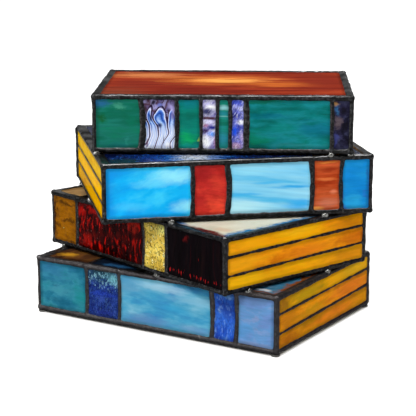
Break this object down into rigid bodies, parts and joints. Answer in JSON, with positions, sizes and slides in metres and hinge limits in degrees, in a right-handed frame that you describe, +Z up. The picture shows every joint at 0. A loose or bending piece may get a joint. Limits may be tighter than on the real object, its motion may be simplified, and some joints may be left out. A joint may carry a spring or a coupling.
{
  "type": "stained glass book stack lamp",
  "caption": "Table lamp shaped as a stack of closed books, made of coloured glass pieces joined by dark solder beads, with a screw bulb in the well inside.",
  "frame": {"origin": "on the surface the lamp stands on, under the middle of the stack's outline", "axes": "+X to the right and +Y away from the viewer who faces the spines, +Z up"},
  "size_m": [0.3054, 0.294, 0.2093],
  "materials": {
    "solder": "tin solder beads with a glossy black patina",
    "glass_teal": "opalescent, wispy, gloss",
    "glass_cobalt": "rippled, gloss",
    "glass_sky": "opalescent, streaky, gloss",
    "glass_periwinkle": "opalescent, gloss",
    "glass_brown_amber": "streaky, gloss",
    "glass_steel_blue": "streaky, gloss",
    "glass_page_amber": "streaky amber and orange, gloss",
    "glass_amber": "hammered, mottled, gloss",
    "glass_ruby": "deeply rippled, gloss",
    "glass_gold": "hammered, metallic lustre",
    "glass_dark_ruby": "rippled, gloss",
    "glass_tan": "opalescent, gloss",
    "glass_cream": "opalescent, gloss",
    "glass_azure": "opalescent, cloudy, gloss",
    "glass_red": "opalescent, gloss",
    "glass_pale_blue": "opalescent, streaky, gloss",
    "glass_orange": "streaky, gloss",
    "glass_blue": "opalescent, gloss",
    "glass_dark_cobalt": "rippled, gloss",
    "glass_green": "streaky, gloss",
    "glass_violet": "rippled violet and white, gloss",
    "glass_sea_green": "streaky, gloss",
    "glass_plum": "rippled, gloss",
    "rubber": "matt",
    "steel": "rolled strip",
    "brass": "turned and rolled",
    "holder_plastic": "moulded phenolic",
    "ceramic": "glazed",
    "bulb_glass": "frosted inside"
  },
  "bodies": {
    "lamp": {"book_1_solder_frame": "solder", "book_2_solder_frame": "solder", "book_3_solder_frame": "solder", "book_4_solder_frame": "solder", "book_1_spine_teal": "glass_teal", "book_1_spine_cobalt_ripple": "glass_cobalt", "book_1_spine_sky": "glass_sky", "book_1_spine_cobalt": "glass_cobalt", "book_1_spine_periwinkle": "glass_periwinkle", "book_1_cover_amber": "glass_brown_amber", "book_1_cover_slate_blue": "glass_steel_blue", "book_1_cover_blue": "glass_steel_blue", "book_1_pages_left": "glass_page_amber", "book_1_pages_right": "glass_page_amber", "book_1_pages_back": "glass_page_amber", "book_2_spine_amber": "glass_amber", "book_2_spine_ruby_ripple": "glass_ruby", "book_2_spine_gold_hammered": "glass_gold", "book_2_spine_dark_ruby": "glass_dark_ruby", "book_2_cover_tan": "glass_tan", "book_2_cover_cream": "glass_cream", "book_2_pages_left": "glass_page_amber", "book_2_pages_right": "glass_page_amber", "book_2_pages_back": "glass_page_amber", "book_3_spine_azure": "glass_azure", "book_3_spine_red": "glass_red", "book_3_spine_pale_blue": "glass_pale_blue", "book_3_spine_orange": "glass_orange", "book_3_spine_blue": "glass_blue", "book_3_cover_cobalt": "glass_dark_cobalt", "book_3_pages_left": "glass_page_amber", "book_3_pages_right": "glass_page_amber", "book_3_pages_back": "glass_page_amber", "book_4_spine_green": "glass_green", "book_4_spine_violet_ripple": "glass_violet", "book_4_spine_green_band": "glass_green", "book_4_spine_violet_band": "glass_violet", "book_4_spine_green_strip": "glass_green", "book_4_spine_violet_strip": "glass_violet", "book_4_spine_sea_green": "glass_sea_green", "book_4_spine_plum": "glass_plum", "book_4_cover_orange": "glass_orange", "book_4_pages_left": "glass_page_amber", "book_4_pages_right": "glass_page_amber", "book_4_pages_back": "glass_page_amber", "foot_1": "rubber", "foot_2": "rubber", "foot_3": "rubber", "foot_4": "rubber", "cord_notch_liner": "rubber", "lamp_bridge": "steel", "nipple_nut": "brass", "threaded_nipple": "brass", "holder_base": "holder_plastic", "holder_insulator": "ceramic", "holder_barrel": "holder_plastic", "screw_shell": "brass", "centre_contact": "brass"},
    "bulb": {"bulb_cap": "brass", "bulb_glass": "bulb_glass"}
  },
  "joints": [
    {"name": "bulb_turn", "type": "hinge", "parent": "lamp", "child": "bulb", "pos_m": [0, -0.0032, 0.05], "axis": [0, 0, 1], "range_deg": [0, 1080]}
  ]
}
